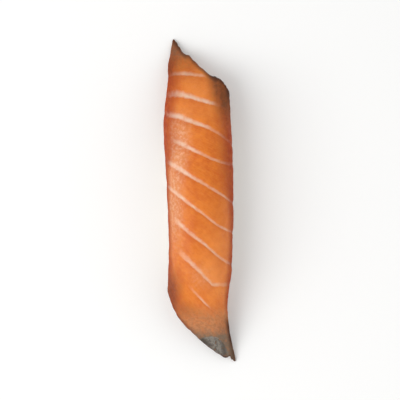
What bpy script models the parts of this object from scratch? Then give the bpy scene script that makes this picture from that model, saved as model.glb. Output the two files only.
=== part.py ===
import math
import random

import bmesh
import bpy
from mathutils import Matrix, Vector, noise
from mathutils.bvhtree import BVHTree

MM = 0.001

# One piece of salmon nigiri. Sizes are in millimetres: X is the width, Y the length and Z up.
# The origin is the middle of the rice's base.

# The slice of salmon, draped over the rice
SLICE_TOP = 24.6  # height of the crown over the rice
SLICE_THICK = 5.0  # thickness along the crown
LIP_SHARE = 0.50  # thickness at the two long edges, as a share of that
TIP_SHARE = 0.42  # thickness at the two cut ends, as a share of that
THINS_FROM, THINS_TO = 26.0, 58.0  # distances from the middle between which it thins towards the ends
LIP_DROP = 11.6  # how far the long edges hang below the crown, over the rice
TAIL_DROP = 2.6  # the same at the tips, where nothing bends them down
DROP_FROM, DROP_TO = 24.0, 50.0  # distances between which the one turns into the other
LIP_TURN = math.radians(80)  # slope of the sides at their lower edges
SHOULDER = 0.92  # 1 is a round arch, less is squarer
DROOP_FROM = 23.5  # distance from the middle at which the slice starts to bend down
DROOP_TO = 59.0  # distance at which it would lie flat on the table
TIP_HEIGHT = 3.1  # height of the outer face at the tips
RIPPLE = 0.35  # how far the sheet strays from an even drape
RIPPLE_SCALE = 0.11  # ripples for each millimetre
EDGE_ROUND = 0.075  # rounded part of each long edge, as a share of the half width
EDGE_ANGLES = (55, 0, -55)  # points round a long edge, in degrees from its middle
END_ROUND = ((0.0, 0.42), (0.004, 0.74), (0.011, 0.93))  # place along it, and share of the thickness there
ROUNDED_END = 0.022  # place along the slice from which it has its full thickness

# Its outline seen from above. Each pair is a position along Y and the X of the edge there.
LEFT_EDGE = (
    (58.2, -9.9),
    (49.5, -11.5),
    (42.0, -11.7),
    (28.0, -13.2),
    (8.0, -12.1),
    (-12.0, -11.2),
    (-32.0, -11.8),
)
RIGHT_EDGE = (
    (37.8, 10.8),
    (27.0, 11.3),
    (2.0, 12.2),
    (-24.0, 11.5),
    (-37.0, 10.1),
    (-47.0, 11.5),
    (-57.5, 13.4),
)
BOTTOM_BULGE = 6.5  # how far the lower cut bows out
BLUNT_CORNER, SHARP_CORNER = 12, 3.5  # how fast the bow rises at its blunt corner and falls at its tip
# Where the two cuts were torn. Each has its place across, its reach, and how far it moves the cut along Y.
TOP_TEARS = ((0.87, 0.16, 2.65), (0.30, 0.04, 0.8), (0.20, 0.10, -1.0))
BOTTOM_TEARS = ((0.905, 0.035, 1.2),)  # the notch that leaves a hook at the tip

# The valleys along the sheets of fat
FLAKE_RELIEF = 0.22  # their depth
FLAKE_PITCH = 9.8  # distance between them, measured along the crown
FLAKE_FIRST = 44.5  # position of the first one on the crown
FLAKE_LEAN = 0.15  # its slant
FLAKE_LEAN_GAIN = 0.0085  # how much more the others slant, for each millimetre towards the tail
FLAKE_POWER = 0.6  # less is a narrower valley
HALF_ARC = 16.4  # from the crown to a long edge, measured over the flesh

# The finger of rice
RICE_LENGTH = 61.0
RICE_WIDTH = 16.0
RICE_HEIGHT = 19.1
RICE_MIDDLE = 7.4  # height at which it is widest
RICE_SQUARE = 3.0  # 2 is an ellipsoid, more is squarer
GAP = 0.4  # between the rice and the salmon
PRESS_STEPS = 80  # most steps in which a point of the core gives way to the salmon
PRESS_STEP = 0.015  # share of the way to the axis that one step takes
GRAIN_LENGTH = 6.2
GRAIN_WIDTH = 3.0
GRAIN_FLAT = 0.88  # thickness of a grain, as a share of its width
GRAIN_SIDES = 5
GRAIN_RINGS = (-0.62, 0.0, 0.62)  # places of its rings, as shares of the half length
GRAIN_BLUNT = 1.08  # how much fuller it is than an ellipsoid
GRAIN_PROUD = 0.35  # how far a grain's middle stands off the core
GRAIN_PROUD_SPREAD = 0.25
GRAIN_TILT = 0.22  # largest tilt out of the core's surface, in radians
GRAIN_SPACING = 3.0
GRAIN_CLEARANCE = 0.15  # more room than GAP for the grains next to the salmon
GRAIN_LOWEST = 0.5
GRAIN_TRIES = 9000

STEPS_ALONG = 58
STEPS_ACROSS = 16
CORE_SIDES = 26
CORE_RINGS = 27
random.seed(7)


def linear(hex_colour):
    """Turns an sRGB hex colour into the linear values of a material."""
    channels = [int(hex_colour[i : i + 2], 16) / 255 for i in (1, 3, 5)]
    bent = [c / 12.92 if c <= 0.04045 else ((c + 0.055) / 1.055) ** 2.4 for c in channels]
    return (*bent, 1.0)


def material(name, colour, roughness):
    made = bpy.data.materials.new(name)
    made.use_nodes = True
    shader = made.node_tree.nodes["Principled BSDF"]
    shader.inputs["Base Color"].default_value = linear(colour)
    shader.inputs["Roughness"].default_value = roughness
    shader.inputs["Metallic"].default_value = 0.0
    made.diffuse_color = linear(colour)
    return made


def smooth_step(value):
    value = min(max(value, 0.0), 1.0)
    return value * value * (3 - 2 * value)


def ease(value, start, end):
    """Rises smoothly from 0 at start to 1 at end."""
    return smooth_step((value - start) / (end - start))


def hump(value, middle, reach):
    return math.exp(-(((value - middle) / reach) ** 2))


def edge_x(edge, y):
    """The X of a long edge at this Y: a smooth curve through the edge's stations."""
    last = len(edge) - 2
    index = 0
    while index < last and y < edge[index + 1][0]:
        index += 1
    before = edge[max(index - 1, 0)]
    start = edge[index]
    end = edge[index + 1]
    after = edge[min(index + 2, len(edge) - 1)]
    span = end[0] - start[0]
    share = (y - start[0]) / span
    slope_in = (end[1] - before[1]) / (end[0] - before[0]) * span
    slope_out = (after[1] - start[1]) / (after[0] - start[0]) * span
    curve = (2 * share**3 - 3 * share**2 + 1) * start[1]
    curve += (share**3 - 2 * share**2 + share) * slope_in
    curve += (3 * share**2 - 2 * share**3) * end[1]
    curve += (share**3 - share**2) * slope_out
    return curve


def edge_point(edge, along):
    y = edge[0][0] + (edge[-1][0] - edge[0][0]) * along
    return Vector((edge_x(edge, y), y))


def straight_cut(across, along):
    """A point of the straight line between the two corners at one end of the slice."""
    return edge_point(LEFT_EDGE, along).lerp(edge_point(RIGHT_EDGE, along), across)


def torn(tears, across):
    return Vector((0, sum(height * hump(across, place, reach) for place, reach, height in tears)))


def top_cut(across):
    """The slanting end cut at +Y, which was torn a little by the knife."""
    return straight_cut(across, 0) + torn(TOP_TEARS, across)


def bottom_cut(across):
    """The slanting end cut at -Y: bowed, rounded at its blunt corner, and hooked at its tip."""
    full = (1 - (1 - across) ** BLUNT_CORNER) * (1 - across**SHARP_CORNER)
    return straight_cut(across, 1) - Vector((0, BOTTOM_BULGE * full)) + torn(BOTTOM_TEARS, across)


def plan_point(across, along):
    """A Coons patch between the four edges of the slice, seen from above."""
    ruled_ends = top_cut(across).lerp(bottom_cut(across), along)
    ruled_sides = edge_point(LEFT_EDGE, along).lerp(edge_point(RIGHT_EDGE, along), across)
    corners = straight_cut(across, 0).lerp(straight_cut(across, 1), along)
    return ruled_ends + ruled_sides - corners


def crown_height(y):
    return SLICE_TOP + (TIP_HEIGHT - SLICE_TOP) * ease(abs(y), DROOP_FROM, DROOP_TO)


def lip_drop(y):
    return LIP_DROP + (TAIL_DROP - LIP_DROP) * ease(abs(y), DROP_FROM, DROP_TO)


def outer_point(side, along):
    """A point of the salmon's upper face: side runs from -1 at the left lip to 1 at the right lip."""
    angle = abs(side) * LIP_TURN
    reach = (math.sin(angle) / math.sin(LIP_TURN)) ** SHOULDER
    plan = plan_point(0.5 + 0.5 * math.copysign(reach, side), along)
    fall = (1 - math.cos(angle)) / (1 - math.cos(LIP_TURN))
    return Vector((plan.x, plan.y, crown_height(plan.y) - lip_drop(plan.y) * fall))


def outward(side, along):
    step = 0.004
    a = outer_point(min(side + step, 1), along) - outer_point(max(side - step, -1), along)
    b = outer_point(side, min(along + step, 1)) - outer_point(side, max(along - step, 0))
    return b.cross(a).normalized()


def fat_line_phase(point, side):
    """Whole numbers lie on the fat lines, which slant more towards the tail."""
    down = FLAKE_FIRST - point.y
    lean = FLAKE_LEAN + FLAKE_LEAN_GAIN * down
    return (down - lean * side * HALF_ARC) / FLAKE_PITCH


def thickness(side, y):
    across = LIP_SHARE + (1 - LIP_SHARE) * (1 - abs(side) ** 3)
    along = 1 + (TIP_SHARE - 1) * ease(abs(y), THINS_FROM, THINS_TO)
    return SLICE_THICK * across * along


def slice_point(side, along, level):
    """A point of the slice: level is 1 on its upper face and -1 on its lower face."""
    outer = outer_point(side, along)
    depth = thickness(side, outer.y) * (1 - level) / 2
    valley = abs(math.sin(math.pi * fat_line_phase(outer, side))) ** FLAKE_POWER - 1
    ripple = RIPPLE * noise.noise(outer * RIPPLE_SCALE + Vector((3, 8, 1)))
    raised = max(level, 0) * FLAKE_RELIEF * valley + ripple - depth
    return outer + outward(side, along) * raised


def slice_rows():
    """Places along the slice, closer together at its two cut ends, with the share of the thickness there."""
    full = 1 - 2 * ROUNDED_END
    rows = list(END_ROUND)
    rows += [(ROUNDED_END + full * i / STEPS_ALONG, 1.0) for i in range(STEPS_ALONG + 1)]
    rows += [(1 - along, share) for along, share in reversed(END_ROUND)]
    return rows


def section():
    """One loop round the slice as (side, level): upper face, right lip, lower face, left lip."""
    flat = 1 - EDGE_ROUND
    faces = [-flat + 2 * flat * i / STEPS_ACROSS for i in range(STEPS_ACROSS + 1)]
    turns = [math.radians(angle) for angle in EDGE_ANGLES]
    lip = [(flat + EDGE_ROUND * math.cos(turn), math.sin(turn)) for turn in turns]
    loop = [(side, 1.0) for side in faces]
    loop += lip
    loop += [(side, -1.0) for side in reversed(faces)]
    loop += [(-side, -level) for side, level in lip]
    return loop


def add_object(name, points, faces, look):
    mesh = bpy.data.meshes.new(name)
    mesh.from_pydata([tuple(p * MM) for p in points], [], faces)
    work = bmesh.new()
    work.from_mesh(mesh)
    bmesh.ops.recalc_face_normals(work, faces=work.faces)
    work.to_mesh(mesh)
    work.free()
    for face in mesh.polygons:
        face.use_smooth = True
    mesh.materials.append(look)
    made = bpy.data.objects.new(name, mesh)
    bpy.context.scene.collection.objects.link(made)
    return made


def build_slice(look):
    loop = section()
    count = len(loop)
    points = []
    faces = []
    rows = slice_rows()
    for along, share in rows:
        points += [slice_point(side, along, level * share) for side, level in loop]
    for row in range(len(rows) - 1):
        here = row * count
        there = here + count
        for i in range(count):
            j = (i + 1) % count
            faces.append((here + i, here + j, there + j, there + i))
    # The two cut ends: each point of the upper face joined to the one below it
    upper = STEPS_ACROSS + 1
    above = [count - 1, *range(upper), upper]
    below = [count - 3, *range(2 * upper + 2, upper + 2, -1), upper + 2]
    for start in (0, (len(rows) - 1) * count):
        for i in range(len(above) - 1):
            faces.append((start + above[i], start + above[i + 1], start + below[i + 1], start + below[i]))
        faces.append((start + count - 2, start + above[0], start + below[0]))
        faces.append((start + upper + 1, start + above[-1], start + below[-1]))
    return add_object("salmon_slice", points, faces, look)


def surface_of(made):
    vertices = [v.co / MM for v in made.data.vertices]
    return BVHTree.FromPolygons(vertices, [tuple(f.vertices) for f in made.data.polygons])


def core_point(turn, share):
    """A point of the rounded block that the rice is pressed to. The share runs along it, from -1 to 1."""
    y = RICE_LENGTH / 2 * math.sin(share * math.pi / 2)
    size = (1 - abs(2 * y / RICE_LENGTH) ** RICE_SQUARE) ** (1 / RICE_SQUARE)
    across, up = math.cos(turn), math.sin(turn)
    squared = (abs(across) ** RICE_SQUARE + abs(up) ** RICE_SQUARE) ** (-1 / RICE_SQUARE)
    ray = Vector((RICE_WIDTH / 2 * across, 0, (RICE_HEIGHT - RICE_MIDDLE) * up))
    return Vector((0, y, RICE_MIDDLE)) + ray * squared * size


def core_normal(turn, share):
    step = 0.01
    round_it = core_point(turn + step, share) - core_point(turn - step, share)
    along_it = core_point(turn, share + step) - core_point(turn, share - step)
    return along_it.cross(round_it).normalized()


def pressed(point, cover):
    """Moves a point of the core straight towards its long axis until it's clear of the salmon."""
    axis = Vector((0, point.y, RICE_MIDDLE))
    for _ in range(PRESS_STEPS):
        near, normal, _, distance = cover.find_nearest(point)
        if distance > GAP and (point - near).dot(normal) > 0:
            break
        point = point.lerp(axis, PRESS_STEP)
    return point


def build_core(look, cover):
    points = [Vector((0, -RICE_LENGTH / 2, RICE_MIDDLE))]
    turns = [2 * math.pi * i / CORE_SIDES for i in range(CORE_SIDES)]
    for ring in range(1, CORE_RINGS):
        share = -1 + 2 * ring / CORE_RINGS
        points += [pressed(core_point(turn, share), cover) for turn in turns]
    points.append(Vector((0, RICE_LENGTH / 2, RICE_MIDDLE)))
    faces = []
    for i in range(CORE_SIDES):
        j = (i + 1) % CORE_SIDES
        faces.append((0, 1 + j, 1 + i))
        for ring in range(CORE_RINGS - 2):
            a = 1 + ring * CORE_SIDES
            b = a + CORE_SIDES
            faces.append((a + i, a + j, b + j, b + i))
        last = 1 + (CORE_RINGS - 2) * CORE_SIDES
        faces.append((last + i, last + j, len(points) - 1))
    return add_object("rice_finger", points, faces, look)


def grain_shape():
    """A grain as a few-sided spindle along X, of thirty triangles."""
    half_length = GRAIN_LENGTH / 2
    points = [Vector((-half_length, 0, 0))]
    for place in GRAIN_RINGS:
        x = half_length * place * GRAIN_BLUNT
        radius = GRAIN_WIDTH / 2 * math.sqrt(1 - place**2) * GRAIN_BLUNT
        for i in range(GRAIN_SIDES):
            angle = 2 * math.pi * i / GRAIN_SIDES
            points.append(Vector((x, radius * math.cos(angle), GRAIN_FLAT * radius * math.sin(angle))))
    points.append(Vector((half_length, 0, 0)))
    rings = [1 + GRAIN_SIDES * i for i in range(len(GRAIN_RINGS))]
    faces = []
    for i in range(GRAIN_SIDES):
        j = (i + 1) % GRAIN_SIDES
        faces.append((0, rings[0] + j, rings[0] + i))
        for a, b in zip(rings, rings[1:]):
            faces.append((a + i, a + j, b + j, b + i))
        faces.append((rings[-1] + i, rings[-1] + j, len(points) - 1))
    return points, faces


def grain_places(cover):
    """Places for grains on the open sides and ends of the core, clear of the salmon."""
    shape, _ = grain_shape()
    spots = []
    poses = []
    for _ in range(GRAIN_TRIES):
        turn = random.uniform(0, 2 * math.pi)
        share = random.uniform(-0.995, 0.995)
        spot = core_point(turn, share)
        spin = random.uniform(0, math.pi)
        tilt = random.uniform(-GRAIN_TILT, GRAIN_TILT)
        proud = GRAIN_PROUD + random.uniform(-GRAIN_PROUD_SPREAD, GRAIN_PROUD_SPREAD)
        if spot.z < GRAIN_LOWEST or any((spot - other).length < GRAIN_SPACING for other in spots):
            continue
        if (pressed(spot, cover) - spot).length > 0:
            continue
        normal = core_normal(turn, share)
        lean = normal.to_track_quat("Z", "X").to_matrix().to_4x4()
        pose = Matrix.Translation(spot + normal * proud) @ lean
        pose = pose @ Matrix.Rotation(spin, 4, "Z") @ Matrix.Rotation(tilt, 4, "Y")
        nearest = min(cover.find_nearest(pose @ corner)[3] for corner in shape)
        if nearest < GAP + GRAIN_CLEARANCE:
            continue
        spots.append(spot)
        poses.append(pose)
    return poses


def fuse_grains(core, cover, look):
    shape, faces = grain_shape()
    grains = bpy.data.collections.new("grains")
    bpy.context.scene.collection.children.link(grains)
    for pose in grain_places(cover):
        grain = add_object("grain", [pose @ p for p in shape], faces, look)
        bpy.context.scene.collection.objects.unlink(grain)
        grains.objects.link(grain)
        grain.hide_render = True
    print(len(grains.objects), "grains")
    union = core.modifiers.new("fuse", "BOOLEAN")
    union.operation = "UNION"
    union.operand_type = "COLLECTION"
    union.collection = grains
    union.solver = "MANIFOLD"
    apply_modifier(core, union)
    for grain in list(grains.objects):
        bpy.data.objects.remove(grain, do_unlink=True)
    bpy.data.collections.remove(grains)


def apply_modifier(target, modifier):
    bpy.context.view_layer.objects.active = target
    bpy.ops.object.modifier_apply(modifier=modifier.name)


def flatten_base(rice, look):
    """Cuts off what lies below the table, which leaves the flat face that the sushi rests on."""
    half = RICE_LENGTH
    corners = [Vector((x, y, z)) for x in (-half, half) for y in (-half, half) for z in (-half, 0.0)]
    quads = [(0, 1, 3, 2), (4, 6, 7, 5), (0, 4, 5, 1), (2, 3, 7, 6), (0, 2, 6, 4), (1, 5, 7, 3)]
    cutter = add_object("cutter", corners, quads, look)
    cutter.hide_render = True
    cutter.display_type = "WIRE"
    cut = rice.modifiers.new("base", "BOOLEAN")
    cut.operation = "DIFFERENCE"
    cut.object = cutter
    cut.solver = "MANIFOLD"
    apply_modifier(rice, cut)
    bpy.data.objects.remove(cutter, do_unlink=True)


def keep_largest_shell(made):
    """Fills the sealed hollows between grains and drops loose scraps, so that one closed body is left."""
    work = bmesh.new()
    work.from_mesh(made.data)
    unseen = set(work.verts)
    shells = []
    while unseen:
        reached = {unseen.pop()}
        edge_of_search = list(reached)
        while edge_of_search:
            vertex = edge_of_search.pop()
            fresh = {e.other_vert(vertex) for e in vertex.link_edges} & unseen
            unseen -= fresh
            reached |= fresh
            edge_of_search += fresh
        shells.append(reached)
    largest = max(shells, key=len)
    spare = [v for shell in shells if shell is not largest for v in shell]
    bmesh.ops.delete(work, geom=spare, context="VERTS")
    work.to_mesh(made.data)
    work.free()


for old in list(bpy.data.objects):
    bpy.data.objects.remove(old, do_unlink=True)
salmon_look = material("salmon", "#de7f44", 0.35)
rice_look = material("rice", "#f1ecdf", 0.5)
salmon = build_slice(salmon_look)
salmon_surface = surface_of(salmon)
rice = build_core(rice_look, salmon_surface)
fuse_grains(rice, salmon_surface, rice_look)
flatten_base(rice, rice_look)
keep_largest_shell(rice)
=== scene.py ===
import math
import random

import bpy
from mathutils import Matrix, Vector, noise
from mathutils.bvhtree import BVHTree


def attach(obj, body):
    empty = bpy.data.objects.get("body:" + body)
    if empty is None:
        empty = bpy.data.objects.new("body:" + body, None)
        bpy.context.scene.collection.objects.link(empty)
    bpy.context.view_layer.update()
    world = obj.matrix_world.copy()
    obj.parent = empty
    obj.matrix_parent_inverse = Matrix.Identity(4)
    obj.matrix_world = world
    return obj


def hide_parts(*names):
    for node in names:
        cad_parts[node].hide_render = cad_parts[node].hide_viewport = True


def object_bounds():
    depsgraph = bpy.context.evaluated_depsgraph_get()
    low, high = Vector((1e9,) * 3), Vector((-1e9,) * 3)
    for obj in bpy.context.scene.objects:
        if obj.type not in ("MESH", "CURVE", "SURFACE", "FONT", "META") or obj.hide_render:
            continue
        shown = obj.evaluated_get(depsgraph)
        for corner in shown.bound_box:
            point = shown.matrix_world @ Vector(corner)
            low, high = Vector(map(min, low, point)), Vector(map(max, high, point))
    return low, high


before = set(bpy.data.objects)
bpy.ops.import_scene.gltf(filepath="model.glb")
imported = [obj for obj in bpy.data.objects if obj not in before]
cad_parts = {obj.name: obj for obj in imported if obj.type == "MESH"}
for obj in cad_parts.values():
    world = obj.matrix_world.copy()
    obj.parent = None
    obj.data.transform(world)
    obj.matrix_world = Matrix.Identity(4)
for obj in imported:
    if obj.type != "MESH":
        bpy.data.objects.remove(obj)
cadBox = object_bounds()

# One piece of salmon nigiri. Sizes are in millimetres: X across, Y along, Z up from the table.
mm = 0.001
fullTurn = 2 * math.pi
random.seed(11)


def srgb(hexColour):
    channels = [int(hexColour[i:i + 2], 16) / 255 for i in (1, 3, 5)]
    return [c / 12.92 if c <= 0.04045 else ((c + 0.055) / 1.055) ** 2.4 for c in channels] + [1.0]


def addNode(tree, kind, settings=None, links=None):
    # settings are properties of the node, or sockets by name or number; links are sockets fed by other nodes
    node = tree.nodes.new("ShaderNode" + kind)
    for key, value in (settings or {}).items():
        if isinstance(key, str) and hasattr(node, key):
            setattr(node, key, value)
        else:
            node.inputs[key].default_value = value
    for key, source in (links or {}).items():
        tree.links.new(source, node.inputs[key])
    return node


def newMaterial(name):
    material = bpy.data.materials.new(name)
    material.use_nodes = True
    material.node_tree.nodes.clear()
    return material, material.node_tree


def deselectAll():
    if bpy.context.mode != "OBJECT":
        bpy.ops.object.mode_set(mode="OBJECT")
    bpy.ops.object.select_all(action="DESELECT")


def applyModifiers(piece):
    deselectAll()
    piece.select_set(True)
    bpy.context.view_layer.objects.active = piece
    for modifier in list(piece.modifiers):
        bpy.ops.object.modifier_apply(modifier=modifier.name)


def smoothStep(value):
    value = min(max(value, 0.0), 1.0)
    return value * value * (3 - 2 * value)


def ramp(value, start, full):
    # 0 at start, 1 at full, whichever of the two is larger
    return smoothStep((value - start) / (full - start))


def hump(value, middle, reach):
    return math.exp(-(((value - middle) / reach) ** 2))


def between(start, end, share):
    return start + (end - start) * share


# The salmon's drape. Its outline, height, thickness and ends follow the sizes of its solid.
salmon = {
    "top": 24.6, "thick": 5.0,  # at the crown
    "lipShare": 0.50, "tipShare": 0.42,  # thickness of the long edges and of the cut ends, as shares of that
    "lipPower": 3,  # more keeps the thinning nearer to the long edges
    "lipDrop": 11.6, "tailDrop": 2.6,  # drop of the long edges from the crown, over the rice and at the tips
    "lipTurn": math.radians(80), "shoulder": 0.92,  # slope of the sides at their lower edges, and roundness
    "droopAlong": (23.5, 59.0), "tipHeight": 3.1,
    "dropAlong": (24.0, 50.0), "thinsAlong": (26.0, 58.0),
    "leftEdge": (  # place along and place across, seen from above
        (58.2, -9.9), (49.5, -11.5), (42.0, -11.7), (28.0, -13.2),
        (8.0, -12.1), (-12.0, -11.2), (-32.0, -11.8),
    ),
    "rightEdge": (
        (37.8, 10.8), (27.0, 11.3), (2.0, 12.2), (-24.0, 11.5),
        (-37.0, 10.1), (-47.0, 11.5), (-57.5, 13.4),
    ),
    "topTears": ((0.87, 0.16, 2.65), (0.30, 0.04, 0.8), (0.20, 0.10, -1.0)),  # place across, reach and height
    "bottomTears": ((0.905, 0.035, 1.2),),
    "bottomBulge": 6.5, "bluntCorner": 12, "sharpCorner": 3.5,
    "edgeRound": 0.055, "thinnestEdge": 0.40,
    "endRound": 0.022, "thinnestEnd": 0.42,
    "cellsAcross": 56, "cellsAlong": 168,
    "crowdAcross": 0.20, "crowdAlong": 0.06,  # how much narrower the cells get towards the edges
    "normalStep": 0.004,
    "halfArc": 16.4,  # from the crown to a long edge, measured over the flesh
    "length": 108.0,  # from one cut end to the other
    "ripple": 0.35, "rippleScale": 0.11,  # how far the whole sheet strays from an even drape
    "tear": 0.62, "tearReach": 1.3,  # raggedness of the two cut ends, and how far in it is felt
    "notches": ((0.8, 5.0, 1.0), (1.9, 2.0, 0.6)),  # how many in a millimetre, which pattern, and its share
    "valley": 0.20, "valleyReach": 1.3, "faintValley": 0.35,  # a fat line's dip; its share on a faint line
    "swells": ((0.10, 0.35), (0.05, 0.9)),  # height of the flesh's unevenness, and how much in a millimetre
}


def edgeX(edge, y):
    # a smooth curve through the edge's points, the upper one first
    last = len(edge) - 2
    index = 0
    while index < last and y < edge[index + 1][0]:
        index += 1
    start, end = edge[index], edge[index + 1]
    before, after = edge[max(index - 1, 0)], edge[min(index + 2, last + 1)]
    span = end[0] - start[0]
    share = (y - start[0]) / span
    slopeIn = (end[1] - before[1]) / (end[0] - before[0]) * span
    slopeOut = (after[1] - start[1]) / (after[0] - start[0]) * span
    fromStart = (2 * share ** 3 - 3 * share ** 2 + 1) * start[1]
    fromStart += (share ** 3 - 2 * share ** 2 + share) * slopeIn
    return fromStart + (3 * share ** 2 - 2 * share ** 3) * end[1] + (share ** 3 - share ** 2) * slopeOut


def edgePoint(edge, along):
    y = edge[0][0] + (edge[-1][0] - edge[0][0]) * along
    return Vector((edgeX(edge, y), y))


def tornBy(tears, across):
    return sum(height * hump(across, place, reach) for place, reach, height in tears)


def planPoint(across, along):
    # the slice seen from above: two long edges, a torn upper cut and a bowed lower one
    left, right = salmon["leftEdge"], salmon["rightEdge"]
    firstCorners = edgePoint(left, 0).lerp(edgePoint(right, 0), across)
    lastCorners = edgePoint(left, 1).lerp(edgePoint(right, 1), across)
    bow = (1 - (1 - across) ** salmon["bluntCorner"]) * (1 - across ** salmon["sharpCorner"])
    bow *= salmon["bottomBulge"]
    topCut = firstCorners + Vector((0, tornBy(salmon["topTears"], across)))
    bottomCut = lastCorners + Vector((0, tornBy(salmon["bottomTears"], across) - bow))
    ruledSides = edgePoint(left, along).lerp(edgePoint(right, along), across)
    return topCut.lerp(bottomCut, along) + ruledSides - firstCorners.lerp(lastCorners, along)


def reachOf(side):
    # side runs from -1 at the left lip to 1 at the right one; its reach is the same, as seen from above
    turn = salmon["lipTurn"]
    return math.copysign((math.sin(abs(side) * turn) / math.sin(turn)) ** salmon["shoulder"], side)


def outerPoint(side, along):
    plan = planPoint(0.5 + 0.5 * reachOf(side), along)
    crown = between(salmon["top"], salmon["tipHeight"], ramp(abs(plan.y), *salmon["droopAlong"]))
    drop = between(salmon["lipDrop"], salmon["tailDrop"], ramp(abs(plan.y), *salmon["dropAlong"]))
    fallen = (1 - math.cos(side * salmon["lipTurn"])) / (1 - math.cos(salmon["lipTurn"]))
    return Vector((plan.x, plan.y, crown - drop * fallen))


def outwardNormal(side, along):
    step = salmon["normalStep"]
    a = outerPoint(min(side + step, 1), along) - outerPoint(max(side - step, -1), along)
    b = outerPoint(side, min(along + step, 1)) - outerPoint(side, max(along - step, 0))
    return b.cross(a).normalized()


def thicknessAt(side, y):
    across = between(1, salmon["lipShare"], abs(side) ** salmon["lipPower"])
    along = between(1, salmon["tipShare"], ramp(abs(y), *salmon["thinsAlong"]))
    return salmon["thick"] * across * along


# The sheets of fat between the flakes, from the upper end down. Each one crosses the crown at crownY, runs
# down to the right by lean, bend and an S-shaped sway, and can turn level past an arc of turnAt. It comes in
# from the arc comesIn until it is as pale as pale says, and fades past the arc goesOut until only the share
# that stays is left. Its width is a share of the usual one.
fatLineNames = ("crownY", "lean", "bend", "sway", "turnAt", "pale", "comesIn", "goesOut", "stays", "width")
fatLines = [dict(zip(fatLineNames, row)) for row in (
    (53.0, 0.10, 0.010, 0.0, 99, 0.00, -16.0, 0.0, 0.00, 1.00),
    (44.5, 0.25, 0.018, 0.0, 99, 0.70, -16.0, 0.0, 0.00, 0.85),
    (35.8, 0.15, 0.000, 0.9, 99, 1.00, -17.0, 2.6, 0.10, 1.35),
    (26.8, 0.38, 0.007, 0.4, 99, 1.00, -17.0, 0.0, 0.45, 1.15),
    (17.1, 0.36, -0.003, 1.0, 99, 1.00, -10.8, -3.0, 0.50, 1.05),
    (7.0, 0.54, 0.000, 0.8, 99, 1.00, -15.0, -3.0, 0.65, 1.00),
    (-3.5, 0.60, -0.004, 1.1, 99, 0.90, -17.0, -2.0, 0.70, 0.85),
    (-13.7, 0.65, -0.002, 1.1, 99, 0.80, -11.5, 7.0, 0.60, 1.00),
    (-23.9, 0.84, 0.015, 0.9, 5.0, 0.68, -9.0, 5.5, 0.55, 1.10),
    (-33.4, 0.75, -0.006, 1.5, 99, 0.64, -4.2, 2.6, 0.00, 0.85),
    (-43.5, 1.05, 0.000, 1.0, 99, 0.10, -6.0, 0.0, 0.00, 0.60),
    (-53.0, 1.10, 0.000, 1.0, 99, 0.00, 0.0, 0.0, 0.00, 0.60),
    (-63.0, 1.10, 0.000, 1.0, 99, 0.00, 0.0, 0.0, 0.00, 0.60),
)]
allFatLines = {
    "swayArc": 13.0,  # half a wave of the sway
    "inOver": 5.5, "outOver": 2.2, "partlyOutOver": 5.0,  # a line that stays in part fades more slowly
    "thinning": 0.7, "thinningArc": (-7.0, 7.0),  # the lines get this much thinner towards the right edge
}


def lineY(line, arc):
    sloping = min(arc, line["turnAt"])
    swayed = line["sway"] * math.sin(math.pi * sloping / allFatLines["swayArc"])
    return line["crownY"] - line["lean"] * sloping - line["bend"] * sloping * sloping - swayed


def linePaleness(line, arc):
    outOver = allFatLines["partlyOutOver" if line["stays"] else "outOver"]
    lost = (1 - line["stays"]) * ramp(arc, line["goesOut"], line["goesOut"] + outOver)
    return line["pale"] * ramp(arc, line["comesIn"], line["comesIn"] + allFatLines["inOver"]) * (1 - lost)


def fatLineAt(arc, y):
    # the phase is a whole number on each line; with it come the gap to the next line, made larger where the
    # line is to be thinner, and how pale the line is
    index = 0
    while index < len(fatLines) - 2 and y < lineY(fatLines[index + 1], arc):
        index += 1
    upper, lower = fatLines[index], fatLines[index + 1]
    gap = lineY(upper, arc) - lineY(lower, arc)
    share = (lineY(upper, arc) - y) / gap
    lean = between(upper["lean"], lower["lean"], share)
    blend = smoothStep(share)
    paleness = between(linePaleness(upper, arc), linePaleness(lower, arc), blend)
    thinner = 1 + allFatLines["thinning"] * ramp(arc, *allFatLines["thinningArc"])
    thinner /= between(upper["width"], lower["width"], blend)
    return index + share, gap / math.sqrt(1 + lean * lean) * thinner, paleness


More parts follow.
